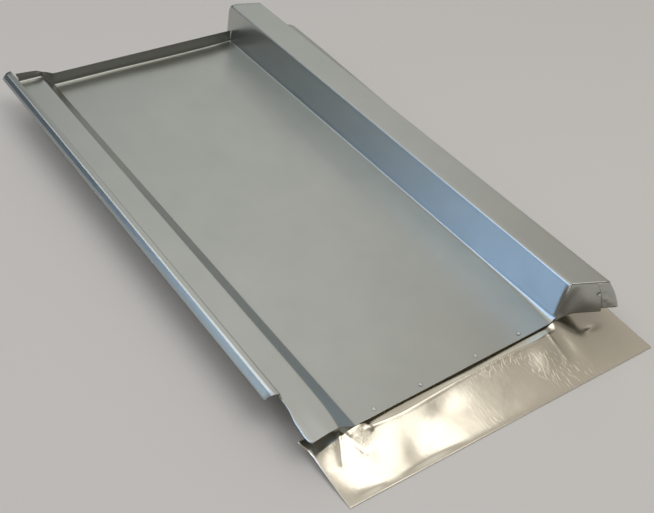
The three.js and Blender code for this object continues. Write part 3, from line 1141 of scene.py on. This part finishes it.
@dataclass
class RivetRow:
    """Round-headed rivets at given places, each along its own direction."""

    name: str
    nodes: tuple[str, ...]
    shank: float = 1.1
    head: float = 1.4
    head_height: float = 0.3

    def tree(self, material: bpy.types.Material) -> bpy.types.GeometryNodeTree:
        """Make the node tree that sets a rivet on every point.

        Args:
            material: The rivets' finish.

        Returns:
            The tree, with named inputs for its sizes.
        """
        tree = bpy.data.node_groups.new(f"{self.name}_tree", "GeometryNodeTree")
        face = tree.interface
        face.new_socket("Geometry", in_out="INPUT", socket_type="NodeSocketGeometry")
        for label in ("Head radius", "Head height", "Shank radius", "Grip"):
            face.new_socket(label, in_out="INPUT", socket_type="NodeSocketFloat")
        face.new_socket("Geometry", in_out="OUTPUT", socket_type="NodeSocketGeometry")
        given = add_node(tree, "NodeGroupInput")
        ball = add_node(
            tree, "GeometryNodeMeshUVSphere", {"Segments": 24, "Rings": 12},
            {"Radius": given.outputs["Head radius"]},
        )
        flat = add_node(
            tree, "ShaderNodeMath", {"operation": "DIVIDE"},
            {0: given.outputs["Head height"], 1: given.outputs["Head radius"]},
        )
        squeeze = add_node(
            tree, "ShaderNodeCombineXYZ", {"X": 1.0, "Y": 1.0}, {"Z": flat.outputs[0]},
        )
        half = add_node(
            tree, "ShaderNodeMath", {"operation": "MULTIPLY", 1: 0.5},
            {0: given.outputs["Grip"]},
        )
        heads = []
        for sign in (1.0, -1.0):
            height = add_node(
                tree, "ShaderNodeMath", {"operation": "MULTIPLY", 1: sign},
                {0: half.outputs[0]},
            )
            place = add_node(tree, "ShaderNodeCombineXYZ", {}, {"Z": height.outputs[0]})
            heads.append(add_node(
                tree, "GeometryNodeTransform", {},
                {"Geometry": ball.outputs["Mesh"], "Translation": place.outputs[0],
                 "Scale": squeeze.outputs[0]},
            ))
        shank = add_node(
            tree, "GeometryNodeMeshCylinder", {"Vertices": 24},
            {"Radius": given.outputs["Shank radius"], "Depth": given.outputs["Grip"]},
        )
        rivet = add_node(tree, "GeometryNodeJoinGeometry")
        for part in (heads[0].outputs[0], heads[1].outputs[0], shank.outputs["Mesh"]):
            tree.links.new(part, rivet.inputs[0])
        axis = add_node(
            tree, "GeometryNodeInputNamedAttribute",
            {"data_type": "FLOAT_VECTOR", "Name": "axis"},
        )
        turn = add_node(
            tree, "FunctionNodeAlignRotationToVector", {"axis": "Z"},
            {"Vector": axis.outputs[0]},
        )
        placed = add_node(
            tree, "GeometryNodeInstanceOnPoints", {},
            {"Points": given.outputs["Geometry"], "Instance": rivet.outputs[0],
             "Rotation": turn.outputs[0]},
        )
        real = add_node(
            tree, "GeometryNodeRealizeInstances", {}, {"Geometry": placed.outputs[0]},
        )
        dressed = add_node(
            tree, "GeometryNodeSetMaterial", {"Material": material},
            {"Geometry": real.outputs[0]},
        )
        add_node(tree, "NodeGroupOutput", {}, {"Geometry": dressed.outputs[0]})
        return tree

    def build(self, axis: Vector, grip: float) -> bpy.types.Object:
        """Set the rivets where the frame has them.

        Args:
            axis: Direction of every rivet.
            grip: Between a rivet's two heads, in millimetres.

        Returns:
            The rivets as one piece, riding on the tile.
        """
        middles = []
        for node in self.nodes:
            low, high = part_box(node)
            middles.append((low + high) / 2)
        mesh = bpy.data.meshes.new(self.name)
        mesh.from_pydata([tuple(m) for m in middles], [], [])
        directions = mesh.attributes.new("axis", "FLOAT_VECTOR", "POINT")
        for value in directions.data:
            value.vector = axis
        rivets = bpy.data.objects.new(self.name, mesh)
        bpy.context.scene.collection.objects.link(rivets)
        modifier = rivets.modifiers.new("rivets", "NODES")
        modifier.node_group = self.tree(RIVET_ALUMINIUM.build())
        values = {
            "Head radius": self.head * MM, "Head height": self.head_height * MM,
            "Shank radius": self.shank * MM, "Grip": grip * MM,
        }
        for item in modifier.node_group.interface.items_tree:
            if item.in_out == "INPUT" and item.name in values:
                modifier[item.identifier] = values[item.name]
        solid = solid_mesh(rivets)
        rivets.modifiers.clear()
        rivets.data = solid
        finish_shading(solid, 50)
        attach(rivets, "root")
        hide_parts(*self.nodes)
        return rivets


# ---------------------------------------------------------------------------------------------
# Hooks
# ---------------------------------------------------------------------------------------------


@dataclass
class HangingHook:
    """A bent strip that hangs the tile on its batten."""

    datum: TileDatum
    side: str
    strip: float = 1.5
    bend: float = 2.2
    corner: float = 2.5

    def build(self) -> bpy.types.Object:
        """Make the hook where the frame has it.

        Returns:
            The hook, riding on the tile.
        """
        node = f"hanging_hook_{self.side}"
        low, high = (self.datum.from_frame_point(p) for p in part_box(node))
        half = self.strip / 2
        front, top = low[1] + half, high[2] - half
        path = [np.array([front, low[2]])]
        for z in np.linspace(low[2], top - self.bend, 9)[1:]:
            path.append(np.array([front, z]))
        start = np.array([front, top - self.bend])
        path.extend(fold(start, np.array([front, top]), np.array([front + self.bend, top]), 7))
        for y in np.linspace(front + self.bend, high[1], 9)[1:]:
            path.append(np.array([y, top]))
        length = len(path)
        width = np.linspace(low[0], high[0], 25)
        grid = np.zeros((length, len(width), 3))
        middle = (low[0] + high[0]) / 2
        half_width = (high[0] - low[0]) / 2
        for j, (y, z) in enumerate(path):
            leg = z - low[2]
            seat = high[1] - y
            near = min(leg, seat) if leg < self.corner or seat < self.corner else self.corner
            cut = self.corner - math.sqrt(max(0.0, self.corner ** 2 - (self.corner - near) ** 2))
            grid[j, :, 0] = middle + (width - middle) * (half_width - cut) / half_width
            grid[j, :, 1] = y
            grid[j, :, 2] = z
        sheet = SheetBuilder()
        sheet.add_grid(grid)
        metal = ZINC_PLATED_STRIP.build()
        hook = sheet.build(f"batten_hook_{self.side}", self.datum, self.strip, metal, metal)
        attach(hook, "root")
        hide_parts(node)
        return hook


# ---------------------------------------------------------------------------------------------
# Studio
# ---------------------------------------------------------------------------------------------


@dataclass(frozen=True)
class Softbox:
    """One rectangular studio light."""

    name: str
    place: tuple[float, float, float]
    aim: tuple[float, float, float]
    size: tuple[float, float]
    power: float
    colour: str
    lights_paper: bool = True

    def build(self) -> None:
        """Hang the light and point it."""
        lamp = bpy.data.lights.new(self.name, "AREA")
        lamp.shape = "RECTANGLE"
        lamp.size, lamp.size_y = self.size
        lamp.energy = self.power
        lamp.color = linear(self.colour)[:3]
        holder = bpy.data.objects.new(self.name, lamp)
        holder.visible_diffuse = self.lights_paper
        holder.location = self.place
        direction = Vector(self.aim) - Vector(self.place)
        holder.rotation_euler = direction.to_track_quat("-Z", "Y").to_euler()
        bpy.context.scene.collection.objects.link(holder)


@dataclass
class Studio:
    """Floor, lights, surroundings and camera."""

    datum: TileDatum
    camera_place: tuple[float, float, float] = (-268.7, -252.2, 451.6)
    heading: float = 41.895
    pitch: float = -41.258
    roll: float = 8.540
    lens: float = 52.90
    floor_half: float = 4.0
    room_colours: tuple[tuple[float, str], ...] = (
        (0.0, "#68645F"), (0.247, "#98938D"), (0.521, "#A6A19B"), (0.686, "#D6D5D2"),
        (0.83, "#CFCFCD"), (0.9, "#4C585E"), (1.0, "#46525A"),
    )
    room_axis: tuple[float, float, float] = (-0.25, 0.95, 0.1)
    room_axis_span: tuple[float, float] = (-0.75, 1.0)
    room_heights: tuple[float, float] = (0.0, 0.85)
    room_height_light: tuple[float, float] = (0.58, 1.34)
    room_left_span: tuple[float, float] = (-0.8, 0.0)
    room_left_light: float = 0.66
    softboxes: tuple[Softbox, ...] = (
        Softbox("overhead_softbox", (0.33, -0.55, 1.5), (0.33, -0.55, 0.0), (1.24, 0.94),
                5.2, "#FFFCF8"),
        Softbox("skylight", (-0.75, 0.2, 1.5), (-0.75, 0.2, 0.0), (0.6, 0.4), 1.0, "#D8E6FF"),
        Softbox("side_window", (-1.95, 0.75, 1.25), (0.0, 0.0, 0.0), (1.1, 1.1), 12.0, "#92C0FF",
                lights_paper=False),
        Softbox("high_window", (-1.03, 1.5, 1.5), (-1.03, 1.5, 0.0), (0.55, 1.9), 4.6, "#FFFDF8"),
        Softbox("low_window", (-2.07, 1.05, 0.32), (-0.1, -0.1, 0.0), (1.1, 0.5), 1.5, "#BCD6E8",
                lights_paper=False),
    )

    def floor(self) -> bpy.types.Object:
        """Lay the floor.

        Returns:
            The floor, which isn't part of the tile.
        """
        half = self.floor_half
        mesh = bpy.data.meshes.new("floor")
        mesh.from_pydata(
            [(-half, -half, 0), (half, -half, 0), (half, half, 0), (-half, half, 0)],
            [], [(0, 1, 2, 3)],
        )
        mesh.materials.append(PALE_PAPER.build())
        floor = bpy.data.objects.new("floor", mesh)
        bpy.context.scene.collection.objects.link(floor)
        return floor

    def surroundings(self) -> None:
        """Make the room: soft grey, darker towards the eaves side and beyond the ridge."""
        world = bpy.data.worlds.new("room")
        bpy.context.scene.world = world
        world.use_nodes = True
        tree = world.node_tree
        tree.nodes.clear()
        place = add_node(tree, "ShaderNodeTexCoord")
        direction = add_node(
            tree, "ShaderNodeVectorMath", {"operation": "DOT_PRODUCT", 1: self.room_axis},
            {0: place.outputs["Generated"]},
        )
        share = add_node(
            tree, "ShaderNodeMapRange",
            {1: self.room_axis_span[0], 2: self.room_axis_span[1], 3: 0.0, 4: 1.0},
            {0: direction.outputs["Value"]},
        )
        tint = add_node(tree, "ShaderNodeValToRGB", {}, {"Fac": share.outputs[0]})
        stops = tint.color_ramp.elements
        stops[0].color = linear(self.room_colours[0][1])
        stops[1].color = linear(self.room_colours[-1][1])
        for place_on_ramp, colour in self.room_colours[1:-1]:
            stops.new(place_on_ramp).color = linear(colour)
        parts = add_node(tree, "ShaderNodeSeparateXYZ", {}, {0: place.outputs["Generated"]})
        lift = add_node(
            tree, "ShaderNodeMapRange",
            {1: self.room_heights[0], 2: self.room_heights[1],
             3: self.room_height_light[0], 4: self.room_height_light[1]},
            {0: parts.outputs["Z"]},
        )
        side = add_node(
            tree, "ShaderNodeMapRange",
            {1: self.room_left_span[0], 2: self.room_left_span[1],
             3: self.room_left_light, 4: 1.0},
            {0: parts.outputs["X"]},
        )
        level = add_node(
            tree, "ShaderNodeMath", {"operation": "MULTIPLY"},
            {0: lift.outputs[0], 1: side.outputs[0]},
        )
        back = add_node(
            tree, "ShaderNodeBackground", {},
            {"Color": tint.outputs["Color"], "Strength": level.outputs[0]},
        )
        add_node(tree, "ShaderNodeOutputWorld", {}, {"Surface": back.outputs[0]})

    def camera(self) -> bpy.types.Object:
        """Set up the camera.

        Returns:
            The scene's camera.
        """
        lens = bpy.data.cameras.new("camera")
        lens.lens = self.lens
        lens.sensor_width = 36.0
        lens.clip_start, lens.clip_end = 0.01, 50.0
        camera = bpy.data.objects.new("camera", lens)
        turn = (
            Matrix.Rotation(math.radians(-self.heading), 4, "Z")
            @ Matrix.Rotation(math.radians(90 + self.pitch), 4, "X")
            @ Matrix.Rotation(math.radians(self.roll), 4, "Z")
        )
        place = self.datum.to_frame(np.array(self.camera_place))
        camera.matrix_world = Matrix.Translation(Vector(place)) @ turn
        bpy.context.scene.collection.objects.link(camera)
        bpy.context.scene.camera = camera
        return camera

    def build(self) -> None:
        """Make everything around the tile."""
        self.camera()
        self.floor()
        self.surroundings()
        for softbox in self.softboxes:
            softbox.build()
        bpy.context.scene.view_settings.view_transform = "Standard"


# ---------------------------------------------------------------------------------------------
# Whole tile
# ---------------------------------------------------------------------------------------------


def report(piece: bpy.types.Object) -> None:
    """Log what one piece measures."""
    size = ", ".join(f"{value / MM:.1f}" for value in piece.dimensions)
    LOG.info("%s: %d faces, %s mm", piece.name, len(piece.data.polygons), size)


def main() -> None:
    """Build the studio and every piece of the tile."""
    logging.basicConfig(level=logging.INFO, format="%(name)s %(message)s")
    datum = TileDatum.from_frame()
    Studio(datum).build()
    plate = FoldedPlate(datum)
    report(plate.build())
    report(SoftApron(datum).build())
    apron_rivets = RivetRow("apron_rivets", tuple(f"apron_rivet_{k}" for k in (1, 2, 3, 4)))
    report(apron_rivets.build(Vector((0, 0, 1)), 1.9))
    end_axis = Vector((-plate.rib_skew, -1.0, 0.0)).normalized()
    report(RivetRow("rib_end_rivet_head", ("rib_end_rivet",)).build(end_axis, 1.74))
    for side in ("left", "right"):
        report(HangingHook(datum, side).build())
    bpy.context.view_layer.update()


if __name__ == "__main__":
    main()
